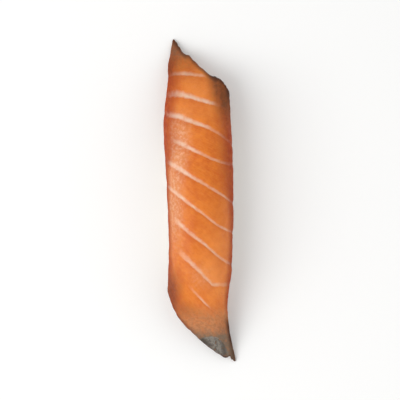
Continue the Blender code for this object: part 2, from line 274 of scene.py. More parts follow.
# Where the flesh changes colour. A pair is where a change starts and where it is full, in millimetres: an
# Arc over the flesh from the crown, an Along on the length, or an In from the nearest edge as seen from
# above. An Across goes from -1 at the left edge to 1 at the right one. The number under a bare name, such as
# dusk or rim, is the strength there.
stains = {
    "halfWidth": 12.0,
    # The milky band is pale flesh with a painted sheen over it, on the side towards the low light on the
    # left.
    "milkyArc": ((-13.4, -10.8), (-2.4, -7.4)), "milkyAlong": ((35.0, 24.0), (-24.0, -2.0)),
    "milkyShift": (-0.9, 2.0, (3.0, 19.0)),  # the milky band lies farther to the left near the lower end
    "paintedHighlightSpot": ((2.0, 4.2), (-26.5, 4.2), 0.7),  # a painted highlight where the flesh rounds over the rice's end: middle and reach on the arc and along, and strength
    "paintedLights": (((7.0, 6.0), (-21.0, 15.0), 1.0), ((-1.0, 7.0), (35.0, 9.0), 0.6)),  # painted light on flesh turned away from the lamps, likewise
    # painted shade on the right flank, which turns away from the light
    "rightShadeIn": (9.0, 4.0), "rightShadeAlong": ((14.0, 2.0), (-30.0, -20.0)), "rightShade": 0.20,
    # the lips are the darker red of the cut edges, with painted shade where they turn down and away from the
    # light
    "leftLipWide": 2.2, "leftLipTop": (3.8, (2.0, 40.0)), "leftLipLow": (2.6, (-16.0, -36.0)),
    "leftLipBulge": (3.2, (20.5, 6.5)),
    "rightLipWide": 2.2, "rightLipTop": (5.2, (-12.0, 22.0)), "lipFull": 0.2, "redLipAndShade": 0.85,
    "brownFrom": 43.0, "brownAlong": (22.0, 36.0),  # the brown shoulder moves right and widens downwards
    "brownMiddle": (3.2, 0.34), "brownWide": (5.4, 0.25), "brownNarrowest": 1.2,
    "foldHighlight": (7.2, 0.7, 0.2),  # a paler vertical streak in the brown, a painted highlight on a fold: its arc, reach and strength
    "tipAlong": (39.5, 57.0), "tip": 0.62, "tipEndAlong": (49.0, 53.5), "tipEnd": 0.3,
    "tipEdgeIn": (2.6, 0.5), "tipEdge": ((46.5, 2.6), 0.7),  # a dark nick on the left edge below the tip
    "topCutIn": (3.0, 0.7), "topCut": (0.7, 1.0, (0.0, 0.35)),  # the upper cut is darker on its right side
    "shoulderIn": (2.6, 0.5), "shoulderAlong": (33.0, 38.5), "shoulder": 0.9,  # right shoulder's dark edge
    # painted shade on the lower left edge and on the tail's right side
    "lowLeftIn": (8.0, 0.8), "lowLeftAlong": (-20.0, -32.0), "lowLeft": 0.95,
    "tailAlong": (-34.5, -44.0), "tailEndAlong": (-43.5, -50.0),
    "tailRightIn": (8.0, 1.5), "tailRight": 0.35,
    "tailEdgeIn": (2.8, 0.6), "tailEdgeAlong": (-39.0, -45.0), "tailEdge": 0.95,
    "tailEdgeLossAlong": (-49.5, -53.0), "tailEdgeLoss": 0.4,
    # painted shade along the lower cut, and a dark edge on it
    "bottomCutIn": (3.8, 0.9), "bottomCut": 0.9, "bottomCutDarkIn": (1.3, 0.4), "bottomCutDark": 0.7,
    "duskIn": (17.0, 4.0), "duskOutAlong": (-38.0, -43.0), "dusk": 0.5,  # painted shade over the tail's blunt corner
    "greyAcross": (-0.13, 0.82), "greyDeepest": 7.2, "greySkew": 1.8, "greyFull": 0.55,  # a lens on the cut
    "greySoft": 0.8, "greyFadesAcross": (0.92, 0.56),
    "rimIn": (4.5, 1.8), "rimAcross": (0.45, 0.10), "rim": 0.95,  # the dark rim of the grey patch
    "rightRim": ((0.67, 0.09), 0.8),
}


def milkyBandAndSheenAt(arc, y):
    lowShift, topShift, shiftAlong = stains["milkyShift"]
    (milkyIn, milkyOut), (milkyTop, milkyEnd) = stains["milkyArc"], stains["milkyAlong"]
    spotArc, spotAlong, spot = stains["paintedHighlightSpot"]
    milkyArc = arc - between(lowShift, topShift, ramp(y, *shiftAlong))
    band = ramp(milkyArc, *milkyIn) * ramp(milkyArc, *milkyOut) * ramp(y, *milkyTop) * ramp(y, *milkyEnd)
    # over the band lies a painted highlight on the flesh above the rice's end
    return max(band, spot * hump(arc, *spotArc) * hump(y, *spotAlong))


# the lips' own darker red, with painted shade where they turn away
def redLipAndShadeAt(fromLeft, fromRight, y):
    (topMore, topAlong), (lowMore, lowAlong) = stains["leftLipTop"], stains["leftLipLow"]
    bulge, bulgeAlong = stains["leftLipBulge"]
    leftWide = stains["leftLipWide"] + topMore * ramp(y, *topAlong) + lowMore * ramp(y, *lowAlong)
    leftWide += bulge * hump(y, *bulgeAlong)
    rightMore, rightAlong = stains["rightLipTop"]
    rightWide = stains["rightLipWide"] + rightMore * ramp(y, *rightAlong)
    onLeft = ramp(fromLeft, leftWide, stains["lipFull"])
    onRight = ramp(fromRight, rightWide, stains["lipFull"])
    return stains["redLipAndShade"] * max(onLeft, onRight)


# the flesh turns brown towards the upper right edge
def brownShoulderAt(arc, y):
    down = stains["brownFrom"] - y
    middle = stains["brownMiddle"][0] + stains["brownMiddle"][1] * down
    half = max(stains["brownNarrowest"], stains["brownWide"][0] + stains["brownWide"][1] * down) / 2
    foldHighlightArc, foldHighlightReach, foldHighlight = stains["foldHighlight"]
    brown = ramp(arc, middle - half, middle + half) * ramp(y, *stains["brownAlong"])
    return brown * (1 - foldHighlight * hump(arc, foldHighlightArc, foldHighlightReach))


def skinGreyAt(reach, fromBottomCut):
    greyFrom, greyTo = stains["greyAcross"]
    lens = min(max((reach - greyFrom) / (greyTo - greyFrom), 0.0), 1.0)
    depth = stains["greyDeepest"] * math.sin(math.pi * lens ** stains["greySkew"]) ** stains["greyFull"]
    grey = ramp(depth - fromBottomCut, -stains["greySoft"], stains["greySoft"])
    return grey * ramp(reach, *stains["greyFadesAcross"])


def stainsAt(side, along, arc, y):
    # how much of each tint lies here, from 0 to 1
    reach = reachOf(side)
    fromLeft, fromRight = (1 + reach) * stains["halfWidth"], (1 - reach) * stains["halfWidth"]
    fromTopCut, fromBottomCut = along * salmon["length"], (1 - along) * salmon["length"]
    onTail = ramp(y, *stains["tailEdgeAlong"])
    tailEdge = ramp(fromRight, *stains["tailEdgeIn"]) * onTail
    tailEdge *= 1 - stains["tailEdgeLoss"] * ramp(y, *stains["tailEdgeLossAlong"])
    topCutLeft, topCutRight, topCutSides = stains["topCut"]
    topCut = ramp(fromTopCut, *stains["topCutIn"])
    topCut *= between(topCutLeft, topCutRight, ramp(side, *topCutSides))
    tipEdgeAlong, tipEdge = stains["tipEdge"]
    deepFrom, deepTo = stains["rightShadeAlong"]
    rightShade = stains["rightShade"] * ramp(fromRight, *stains["rightShadeIn"])
    rightRimAt, rightRim = stains["rightRim"]
    return {
        "milkyBandAndSheen": milkyBandAndSheenAt(arc, y),
        "rightShade": rightShade * ramp(y, *deepFrom) * ramp(y, *deepTo),
        "paintedLight": max(
            strength * hump(arc, *inArc) * hump(y, *inAlong) for inArc, inAlong, strength in stains["paintedLights"]
        ),
        "redLipAndShade": redLipAndShadeAt(fromLeft, fromRight, y),
        "brownShoulder": brownShoulderAt(arc, y),
        "dryTip": stains["tip"] * ramp(y, *stains["tipAlong"]),
        "dryTail": ramp(y, *stains["tailAlong"]),
        # painted shade along the lower cut, over the tail's blunt corner, on the lower left edge and the
        # tail's right side, with a dark nick on the left edge below the tip
        "shadeNearCuts": max(
            stains["bottomCut"] * ramp(fromBottomCut, *stains["bottomCutIn"]),
            stains["dusk"] * ramp(fromBottomCut, *stains["duskIn"]) * (1 - ramp(y, *stains["duskOutAlong"])),
            stains["lowLeft"] * ramp(fromLeft, *stains["lowLeftIn"]) * ramp(y, *stains["lowLeftAlong"]),
            stains["tailRight"] * ramp(fromRight, *stains["tailRightIn"]) * onTail,
            tipEdge * ramp(fromLeft, *stains["tipEdgeIn"]) * hump(y, *tipEdgeAlong),
        ),
        "brownEnd": max(ramp(y, *stains["tailEndAlong"]), stains["tipEnd"] * ramp(y, *stains["tipEndAlong"])),
        "darkCut": max(
            topCut,
            stains["bottomCutDark"] * ramp(fromBottomCut, *stains["bottomCutDarkIn"]),
            stains["tailEdge"] * tailEdge,
            stains["shoulder"] * ramp(fromRight, *stains["shoulderIn"]) * ramp(y, *stains["shoulderAlong"]),
        ),
        "skinGrey": skinGreyAt(reach, fromBottomCut),
        "skinRim": max(
            stains["rim"] * ramp(fromBottomCut, *stains["rimIn"]) * ramp(reach, *stains["rimAcross"]),
            rightRim * hump(reach, *rightRimAt),
        ),
    }


def crowded(share, crowding):
    # from -1 to 1, in steps that get smaller towards both ends, where the flesh is rounded
    s = 2 * share - 1
    return s * (1 + crowding - crowding * s * s)


def sideAt(u):
    return crowded(u, salmon["crowdAcross"])


def alongAt(v):
    return 0.5 + 0.5 * crowded(v, salmon["crowdAlong"])


def roundedShare(side, along):
    lip = max(0.0, 1 - (1 - abs(side)) / salmon["edgeRound"])
    end = max(0.0, 1 - 2 * min(along, 1 - along) / salmon["endRound"])
    atLip = max(salmon["thinnestEdge"], math.sqrt(max(0.0, 1 - lip * lip)))
    return atLip * max(salmon["thinnestEnd"], math.sqrt(max(0.0, 1 - end * end)))


def tearAt(arc, along):
    # small notches along both cut ends, in the flesh's own plane
    fromEnd = min(along, 1 - along) * salmon["length"]
    notch = 0.0
    for often, pattern, share in salmon["notches"]:
        notch += share * noise.noise(Vector((arc * often, pattern, along * 3)))
    return salmon["tear"] * notch * math.exp(-(fromEnd / salmon["tearReach"]) ** 2)


def makeSalmonSlice():
    deselectAll()
    bpy.ops.mesh.primitive_grid_add(x_subdivisions=salmon["cellsAcross"], y_subdivisions=salmon["cellsAlong"],
                                    size=2, location=(0, 0, 0))
    piece = bpy.context.object
    piece.name = "salmonSlice"
    meat = piece.vertex_groups.new(name="meat")
    for vertex in piece.data.vertices:
        side = sideAt(0.5 + 0.5 * vertex.co.x)
        along = alongAt(0.5 - 0.5 * vertex.co.y)
        outer = outerPoint(side, along)
        thick = thicknessAt(side, outer.y)
        ripple = salmon["ripple"] * noise.noise(outer * salmon["rippleScale"] + Vector((3, 8, 1)))
        torn = Vector((0, tearAt(side * salmon["halfArc"], along), 0))
        vertex.co = (outer + torn + outwardNormal(side, along) * (ripple - thick / 2)) * mm
        meat.add([vertex.index], thick / salmon["thick"] * roundedShare(side, along), "REPLACE")
    # the sheet gets its thickness on both sides of its middle, then its edges are rounded
    wall = piece.modifiers.new("thickness", "SOLIDIFY")
    wall.thickness = salmon["thick"] * mm
    wall.offset = 0
    wall.vertex_group = "meat"
    wall.thickness_vertex_group = 0.0
    smooth = piece.modifiers.new("smooth", "SUBSURF")
    smooth.levels = smooth.render_levels = 1
    applyModifiers(piece)
    writeSheetPlaces(piece)
    print("salmon slice:", len(piece.data.polygons), "faces")
    return piece


def writeSheetPlaces(piece):
    # every point keeps its place in the flat slice, which the pattern follows; the fat lines dip a little
    mesh = piece.data
    uvOfVertex = [None] * len(mesh.vertices)
    uvLayer = mesh.uv_layers[0].data
    for loop in mesh.loops:
        uvOfVertex[loop.vertex_index] = uvLayer[loop.index].uv
    places = {"fatLines": [], "sheet": []}
    tints = {name: [] for name in stainsAt(0, 0.5, 0, 0)}
    normals = [vertex.normal.copy() for vertex in mesh.vertices]
    for index, vertex in enumerate(mesh.vertices):
        uv = uvOfVertex[index]
        side = sideAt(min(max(uv.x, 0.0), 1.0))
        along = alongAt(min(max(1 - uv.y, 0.0), 1.0))
        outer = outerPoint(side, along)
        depth = (outer - vertex.co / mm).dot(outwardNormal(side, along))
        arc = side * salmon["halfArc"]
        phase, gap, pale = fatLineAt(arc, outer.y)
        places["fatLines"] += (phase, gap, pale)
        places["sheet"] += (arc, outer.y, depth)
        for name, amount in stainsAt(side, along, arc, outer.y).items():
            tints[name].append(amount)
        fromLine = abs(phase - round(phase)) * gap
        dip = salmon["valley"] * between(salmon["faintValley"], 1, pale)
        dip *= hump(fromLine, 0, salmon["valleyReach"])
        spot = Vector((arc, outer.y, depth))
        swell = sum(height * noise.noise(spot * often) for height, often in salmon["swells"])
        vertex.co += normals[index] * (swell - dip) * mm
    for name, values in places.items():
        mesh.attributes.new(name, "FLOAT_VECTOR", "POINT")
        mesh.attributes[name].data.foreach_set("vector", values)
    for name, values in tints.items():
        mesh.attributes.new(name, "FLOAT", "POINT")
        mesh.attributes[name].data.foreach_set("value", values)


# Some of these colours stand in for light: the milky band's hold a painted sheen, the brightest orange is
# painted light, the lips' red holds painted shade besides their own red, and the dusky brown by the cuts is
# painted shade.
fleshColours = {
    "flesh": "#e07d29", "fleshDeep": "#d26820", "fleshPale": "#e68f49", "underLine": "#bf5118",
    "milkyBandAndSheen": "#d58e60", "milkySheenSpeck": "#e7ac86", "paintedLight": "#fd9c4e", "fat": "#ecc4ab",
    "redLipAndShade": "#9a3415", "brownShoulder": "#7a421d", "dryTip": "#815630", "dryTail": "#c58152",
    "dryFreckle": "#6b4429", "shadeNearCuts": "#833f20", "brownEnd": "#7d6956", "darkCut": "#43200d",
    "skinGrey": "#8a837a", "skinDark": "#4c433b",
}
# The tints that lie over muscle and fat, in the order in which they are laid. The mottles weaken and
# strengthen each of them between these two shares, most of all where the flesh is dry.
tintsOverFat = {
    "redLipAndShade": (0.78, 1.16), "brownShoulder": (0.78, 1.16), "dryTip": (0.62, 1.3), "dryTail": (0.62, 1.3),
    "shadeNearCuts": (0.78, 1.16), "brownEnd": (0.62, 1.3),
}
otherTints = ("milkyBandAndSheen", "paintedLight", "rightShade", "darkCut", "skinGrey", "skinRim")


def addMuscle(tree, colours, sheet, arc, phase, depth, mottle):
    # blotches of some 6 mm under mottles of a millimetre or two, and muscle fibres a third of a millimetre
    # wide that run with the fat
    blotch = addNode(tree, "TexNoise", {"Scale": 0.17, "Detail": 4.0, "Roughness": 0.55}, {"Vector": sheet})
    mottled = addNode(tree, "Math", {"operation": "MULTIPLY_ADD", 1: 0.8},
                      {0: mottle, 2: blotch.outputs["Fac"]})
    blotchBy = addNode(tree, "MapRange", {"From Min": 0.74, "From Max": 1.04}, {"Value": mottled.outputs[0]})
    flesh = addNode(tree, "Mix", {"data_type": "RGBA", 6: colours["fleshDeep"], 7: colours["flesh"]},
                    {0: blotchBy.outputs[0]})
    acrossFibres = addNode(tree, "Math", {"operation": "MULTIPLY", 1: 26.0}, {0: phase})
    alongFibres = addNode(tree, "Math", {"operation": "MULTIPLY", 1: 0.45}, {0: arc})
    fibreAt = addNode(tree, "CombineXYZ",
                      links={0: alongFibres.outputs[0], 1: acrossFibres.outputs[0], 2: depth})
    fibre = addNode(tree, "TexNoise", {"Scale": 1.0, "Detail": 3.0, "Roughness": 0.6},
                    {"Vector": fibreAt.outputs[0]})
    fibreBy = addNode(tree, "MapRange", {"From Min": 0.42, "From Max": 0.8, "To Max": 0.42},
                      {"Value": fibre.outputs["Fac"]})
    muscle = addNode(tree, "Mix", {"data_type": "RGBA", 7: colours["fleshPale"]},
                     {0: fibreBy.outputs[0], 6: flesh.outputs[2]})
    return muscle.outputs[2], blotch.outputs["Fac"], fibre.outputs["Fac"]


def addMilkyBandAndSheen(tree, colours, sheet, muscle, milkyAndSheenTint):
    # soft pale specks of painted sheen, about a millimetre apart, lie over the milky band
    speck = addNode(tree, "TexNoise", {"Scale": 0.95, "Detail": 3.0, "Roughness": 0.6}, {"Vector": sheet})
    speckBy = addNode(tree, "MapRange", {"From Min": 0.43, "From Max": 0.7}, {"Value": speck.outputs["Fac"]})
    milk = addNode(tree, "Mix", {"data_type": "RGBA", 6: colours["milkyBandAndSheen"], 7: colours["milkySheenSpeck"]},
                   {0: speckBy.outputs[0]})
    veil = addNode(tree, "MapRange", {"From Min": 0.36, "From Max": 0.62, "To Min": 0.48, "To Max": 0.87},
                   {"Value": speck.outputs["Fac"]})
    milky = addNode(tree, "Math", {"operation": "MULTIPLY"}, {0: milkyAndSheenTint, 1: veil.outputs[0]})
    return addNode(tree, "Mix", {"data_type": "RGBA"}, {0: milky.outputs[0], 6: muscle, 7: milk.outputs[2]})


def addFatSheets(tree, sheet, phase, gap, pale):
    # A sheet of fat shows as a line about 1.3 mm wide, which fades upwards, ends sharply below and has a
    # deeper shade under it. It wanders by a few tenths of a millimetre, and its edges are frayed by as much.
    wander = addNode(tree, "TexNoise", {"Scale": 0.20, "Detail": 3.0, "Roughness": 0.6}, {"Vector": sheet})
    wanderBy = addNode(tree, "MapRange", {"To Min": -0.04, "To Max": 0.04}, {"Value": wander.outputs["Fac"]})
    wandered = addNode(tree, "Math", {"operation": "ADD"}, {0: phase, 1: wanderBy.outputs[0]})
    shifted = addNode(tree, "Math", {"operation": "ADD", 1: 0.5}, {0: wandered.outputs[0]})
    share = addNode(tree, "Math", {"operation": "FRACT"}, {0: shifted.outputs[0]})
    signed = addNode(tree, "Math", {"operation": "SUBTRACT", 1: 0.5}, {0: share.outputs[0]})
    below = addNode(tree, "Math", {"operation": "MULTIPLY"}, {0: signed.outputs[0], 1: gap})
    fray = addNode(tree, "TexNoise", {"Scale": 0.75, "Detail": 4.0, "Roughness": 0.65}, {"Vector": sheet})
    frayBy = addNode(tree, "MapRange", {"From Min": 0.25, "From Max": 0.75, "To Min": -0.24, "To Max": 0.24},
                     {"Value": fray.outputs["Fac"]})
    frayed = addNode(tree, "Math", {"operation": "ADD"}, {0: below.outputs[0], 1: frayBy.outputs[0]})
    # where the line and its shade begin and end, in millimetres below the middle of the line
    upper, lower, shadeIn, shadeOut = [
        addNode(tree, "MapRange",
                {"interpolation_type": "SMOOTHSTEP", "From Min": start, "From Max": full, "To Max": most},
                {"Value": frayed.outputs[0]}).outputs[0]
        for start, full, most in ((-1.20, 0.2, 1.0), (1.2, 0.45, 1.0), (0.5, 1.1, 0.3), (3.2, 1.2, 1.0))
    ]
    band = addNode(tree, "Math", {"operation": "MULTIPLY"}, {0: upper, 1: lower})
    shade = addNode(tree, "Math", {"operation": "MULTIPLY"}, {0: shadeIn, 1: shadeOut})
    patch = addNode(tree, "TexNoise", {"Scale": 0.38, "Detail": 3.0, "Roughness": 0.6}, {"Vector": sheet})
    patchy = addNode(tree, "MapRange", {"From Min": 0.34, "From Max": 0.6, "To Min": 0.54, "To Max": 1.0},
                     {"Value": patch.outputs["Fac"]})
    strength = addNode(tree, "Math", {"operation": "MULTIPLY"}, {0: patchy.outputs[0], 1: pale})
    fat = addNode(tree, "Math", {"operation": "MULTIPLY", "use_clamp": True},
                  {0: band.outputs[0], 1: strength.outputs[0]})
    underLine = addNode(tree, "Math", {"operation": "MULTIPLY"},
                        {0: shade.outputs[0], 1: strength.outputs[0]})
    return fat.outputs[0], underLine.outputs[0], fray.outputs["Fac"]


def addGreyLayer(tree, colours, tints, mottle, freckle):
    # the layer that lay next to the skin has a ragged border and is mottled by the millimetre
    grain = addNode(tree, "Math", {"operation": "MULTIPLY_ADD", 1: 0.6}, {0: freckle, 2: mottle})
    grainBy = addNode(tree, "MapRange", {"From Min": 0.5, "From Max": 1.1, "To Max": 2.0},
                      {"Value": grain.outputs[0]})
    here = addNode(tree, "Math", {"operation": "MULTIPLY"}, {0: tints["skinGrey"], 1: grainBy.outputs[0]})
    ragged = addNode(tree, "MapRange",
                     {"interpolation_type": "SMOOTHSTEP", "From Min": 0.36, "From Max": 0.64},
                     {"Value": here.outputs[0]})
    mottleBy = addNode(tree, "MapRange", {"From Min": 0.66, "From Max": 0.84}, {"Value": grain.outputs[0]})
    grey = addNode(tree, "Mix", {"data_type": "RGBA", 6: colours["skinDark"], 7: colours["skinGrey"]},
                   {0: mottleBy.outputs[0]})
    rimmed = addNode(tree, "Mix", {"data_type": "RGBA", 7: colours["skinDark"]},
                     {0: tints["skinRim"], 6: grey.outputs[2]})
    return ragged.outputs[0], rimmed.outputs[2]


def makeSalmonMaterial():
    # raw salmon, cut across its flakes: wet orange muscle that lets some light in, with soft pale fat between
    material, tree = newMaterial("rawSalmonFlesh")
    colours = {name: srgb(value) for name, value in fleshColours.items()}
    sheet = addNode(tree, "Attribute", {"attribute_name": "sheet"}).outputs["Vector"]
    lines = addNode(tree, "Attribute", {"attribute_name": "fatLines"}).outputs["Vector"]
    arc, _, depth = addNode(tree, "SeparateXYZ", links={0: sheet}).outputs
    phase, gap, pale = addNode(tree, "SeparateXYZ", links={0: lines}).outputs
    tints = {name: addNode(tree, "Attribute", {"attribute_name": name}).outputs["Fac"]
             for name in (*tintsOverFat, *otherTints)}
    mottles = addNode(tree, "TexNoise", {"Scale": 0.55, "Detail": 5.0, "Roughness": 0.7}, {"Vector": sheet})
    mottle = mottles.outputs["Fac"]
    muscle, blotch, fibre = addMuscle(tree, colours, sheet, arc, phase, depth, mottle)
    fat, underLine, fray = addFatSheets(tree, sheet, phase, gap, pale)
    # painted light on flesh turned from the lamps, strongest on the paler blotches
    paintedLightBy = addNode(tree, "MapRange", {"From Min": 0.3, "From Max": 0.65, "To Min": 0.45, "To Max": 0.85},
                      {"Value": blotch})
    paintedLight = addNode(tree, "Math", {"operation": "MULTIPLY"}, {0: tints["paintedLight"], 1: paintedLightBy.outputs[0]})

    # what is laid over muscle and milky band with its painted sheen, from below: a colour and how much of it
    # the right flank's painted shade takes the colour of the shade under the fat lines
    layers = [("paintedLight", paintedLight.outputs[0]), ("underLine", tints["rightShade"])]
    layers += [("underLine", underLine), ("fat", fat)]
    for name, (least, most) in tintsOverFat.items():
        patchy = addNode(tree, "MapRange",
                         {"From Min": 0.36, "From Max": 0.62, "To Min": least, "To Max": most},
                         {"Value": mottle})
        amount = addNode(tree, "Math", {"operation": "MULTIPLY", "use_clamp": True},
                         {0: tints[name], 1: patchy.outputs[0]})
        layers.append((name, amount.outputs[0]))

    # the dry ends have dark freckles about a millimetre apart
    freckle = addNode(tree, "TexNoise", {"Scale": 0.9, "Detail": 4.0, "Roughness": 0.7}, {"Vector": sheet})
    dryness = addNode(tree, "Math", {"operation": "MAXIMUM"}, {0: tints["dryTip"], 1: tints["dryTail"]})
    freckleBy = addNode(tree, "MapRange", {"From Min": 0.42, "From Max": 0.66, "To Max": 0.34},
                        {"Value": freckle.outputs["Fac"]})
    freckles = addNode(tree, "Math", {"operation": "MULTIPLY"},
                       {0: dryness.outputs[0], 1: freckleBy.outputs[0]})
    layers.append(("dryFreckle", freckles.outputs[0]))

    colour = addMilkyBandAndSheen(tree, colours, sheet, muscle, tints["milkyBandAndSheen"])
    for name, amount in layers:
        colour = addNode(tree, "Mix", {"data_type": "RGBA", 7: colours[name]},
                         {0: amount, 6: colour.outputs[2]})
    ragged, grey = addGreyLayer(tree, colours, tints, mottle, freckle.outputs["Fac"])
    colour = addNode(tree, "Mix", {"data_type": "RGBA"}, {0: ragged, 6: colour.outputs[2], 7: grey})
    colour = addNode(tree, "Mix", {"data_type": "RGBA", 7: colours["darkCut"]},
                     {0: tints["darkCut"], 6: colour.outputs[2]})

    # the wet surface: pits of some 0.4 mm break the gloss into specks
    pits = addNode(tree, "TexNoise", {"Scale": 2.4, "Detail": 3.0, "Roughness": 0.7}, {"Vector": sheet})
    pitBump = addNode(tree, "Bump", {"Strength": 0.7, "Distance": 0.0002}, {"Height": pits.outputs["Fac"]})
    fibreBump = addNode(tree, "Bump", {"Strength": 0.4, "Distance": 0.00012},
                        {"Height": fibre, "Normal": pitBump.outputs[0]})
    wet = addNode(tree, "MapRange", {"From Min": 0.3, "From Max": 0.7, "To Min": 0.32, "To Max": 0.48},
                  {"Value": fray})
    rough = addNode(tree, "Math", {"operation": "MULTIPLY_ADD", 1: 0.45, "use_clamp": True},
                    {0: tints["redLipAndShade"], 2: wet.outputs[0]})
    shader = addNode(tree, "BsdfPrincipled", {
        "IOR": 1.38, "Specular IOR Level": 0.25,
        "Coat Weight": 0.06, "Coat Roughness": 0.22, "Coat IOR": 1.34,
        "Subsurface Weight": 0.22, "Subsurface Radius": (1.0, 0.36, 0.14), "Subsurface Scale": 0.0018,
    }, {"Base Color": colour.outputs[2], "Roughness": rough.outputs[0], "Normal": fibreBump.outputs[0]})
    addNode(tree, "OutputMaterial", links={"Surface": shader.outputs[0]})
    return material


salmonSlice = makeSalmonSlice()
salmonSlice.data.materials.clear()
salmonSlice.data.materials.append(makeSalmonMaterial())
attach(salmonSlice, "root")
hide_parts("salmon_slice")
print("salmon done")


# The rice: a pressed core that shows only in the gaps, and two layers of whole cooked grains over it
rice = {
    "length": 61.0, "width": 16.0, "height": 19.1, "middle": 7.4, "square": 3.0,  # it is widest at middle
    "normalStep": 0.01,
    "coreInset": 1.6, "coreSegments": 48, "coreRings": 56, "coreBase": 0.5, "coreCrease": math.radians(50),
    "gap": 0.35, "pressSteps": 80, "pressStep": 0.015,  # the core gives way to the salmon step by step
    "grainLength": 6.3, "grainWidth": 2.7, "grainFlat": 0.86, "grainSegments": 8, "grainRings": 7,
    "grainBlunt": 0.22, "grainShorter": 0.08,  # its ends are fuller and shorter than a stretched ball's
    "lumps": 0.24, "lumpScale": 0.75,
    "grainVaries": {
        "bow": (0.1, 0.7), "taper": (-0.16, 0.16), "press": (0.84, 1.12),
        "size": (0.86, 1.08), "stretch": (0.82, 1.06), "lumpsAt": (0, 99),
    },
    "layers": ((1.5, 2.5, 0.2), (0.0, 2.1, 0.5)),  # depth, least spacing, how far grains stand out
    "grainTries": 24000, "grainSinks": 0.35, "grainTilt": 0.3,
    "farthestShare": 0.995, "lowestSpot": 0.8,
    "overTable": 0.03, "mostLift": 1.2,  # a grain that reaches into the table is lifted, or left out
    "underTries": 8000, "underReach": (6.6, 27.5), "underHeight": 1.25, "underTilt": 0.12,
}


def blockPoint(turn, share, inset=0.0):
    y = rice["length"] / 2 * math.sin(share * math.pi / 2)
    size = (1 - abs(2 * y / rice["length"]) ** rice["square"]) ** (1 / rice["square"])
    ray = Vector((rice["width"] / 2 * math.cos(turn), 0, (rice["height"] - rice["middle"]) * math.sin(turn)))
    squared = abs(math.cos(turn)) ** rice["square"] + abs(math.sin(turn)) ** rice["square"]
    point = ray * squared ** (-1 / rice["square"]) * size
    if point.length > 0:
        point *= max(0.0, 1 - inset / point.length)
    return Vector((0, y, rice["middle"])) + point


def blockNormal(turn, share):
    step = rice["normalStep"]
    roundIt = blockPoint(turn + step, share) - blockPoint(turn - step, share)
    alongIt = blockPoint(turn, share + step) - blockPoint(turn, share - step)
    return alongIt.cross(roundIt).normalized()


def isClear(point, cover):
    near, normal, _, distance = cover.find_nearest(point * mm)
    return distance > rice["gap"] * mm and (point * mm - near).dot(normal) > 0


def makeRiceCore(cover):
    deselectAll()
    bpy.ops.mesh.primitive_uv_sphere_add(segments=rice["coreSegments"], ring_count=rice["coreRings"],
                                         radius=1, location=(0, 0, 0))
    piece = bpy.context.object
    piece.name = "riceCore"
    for vertex in piece.data.vertices:
        share = math.asin(min(max(vertex.co.z, -1), 1)) / (math.pi / 2)
        point = blockPoint(math.atan2(vertex.co.y, vertex.co.x), share, rice["coreInset"])
        axis = Vector((0, point.y, rice["middle"]))
        for _ in range(rice["pressSteps"]):
            if isClear(point, cover):
                break
            point = point.lerp(axis, rice["pressStep"])
        vertex.co = point * mm
    bpy.ops.object.mode_set(mode="EDIT")
    bpy.ops.mesh.select_all(action="SELECT")
    bpy.ops.mesh.normals_make_consistent(inside=False)
    bpy.ops.mesh.bisect(plane_co=(0, 0, rice["coreBase"] * mm), plane_no=(0, 0, 1), use_fill=True,
                        clear_inner=True)
    bpy.ops.object.mode_set(mode="OBJECT")
    bpy.ops.object.shade_smooth_by_angle(angle=rice["coreCrease"])
    print("rice core:", len(piece.data.polygons), "faces")
    return piece


def makeGrain():
    # a short grain: a stretched ball with blunt ends
    deselectAll()
    bpy.ops.mesh.primitive_uv_sphere_add(segments=rice["grainSegments"], ring_count=rice["grainRings"],
                                         radius=1, location=(0, 0, 0), rotation=(0, math.pi / 2, 0))
    grain = bpy.context.object
    grain.name = "grain"
    bpy.ops.object.transform_apply(location=True, rotation=True, scale=True)
    halfLength, halfWidth = rice["grainLength"] / 2 * mm, rice["grainWidth"] / 2 * mm
    bpy.ops.object.mode_set(mode="EDIT")
    bpy.ops.mesh.select_all(action="SELECT")
    bpy.ops.transform.resize(value=(halfLength, halfWidth, halfWidth * rice["grainFlat"]))
    bpy.ops.object.mode_set(mode="OBJECT")
    for vertex in grain.data.vertices:
        along = vertex.co.x / halfLength
        blunt = 1 + rice["grainBlunt"] * along ** 4
        shorter = 1 - rice["grainShorter"] * along * along
        vertex.co = (vertex.co.x * shorter, vertex.co.y * blunt, vertex.co.z * blunt)
    bpy.ops.object.shade_smooth()
    return grain


def grainShape():
    # no two grains are alike: each is bowed, tapered, pressed and swollen by its own amounts
    return {name: random.uniform(*ends) for name, ends in rice["grainVaries"].items()}


def shaped(corner, shape):
    along = corner.x / (rice["grainLength"] / 2)
    swollen = 1 + rice["lumps"] * noise.noise(corner * rice["lumpScale"] + Vector((shape["lumpsAt"], 0, 0)))
    wide = (1 + shape["taper"] * along) * swollen
    return Vector((corner.x * shape["stretch"], corner.y * wide + shape["bow"] * (0.5 - along * along),
                   corner.z * wide * shape["press"])) * shape["size"]


def laid(pose, corners, shape):
    # the points of a grain at its place, and how far it is to be lifted to clear the table
    placed = [pose @ shaped(corner, shape) for corner in corners]
    return placed, max(0.0, rice["overTable"] - min(point.z for point in placed))


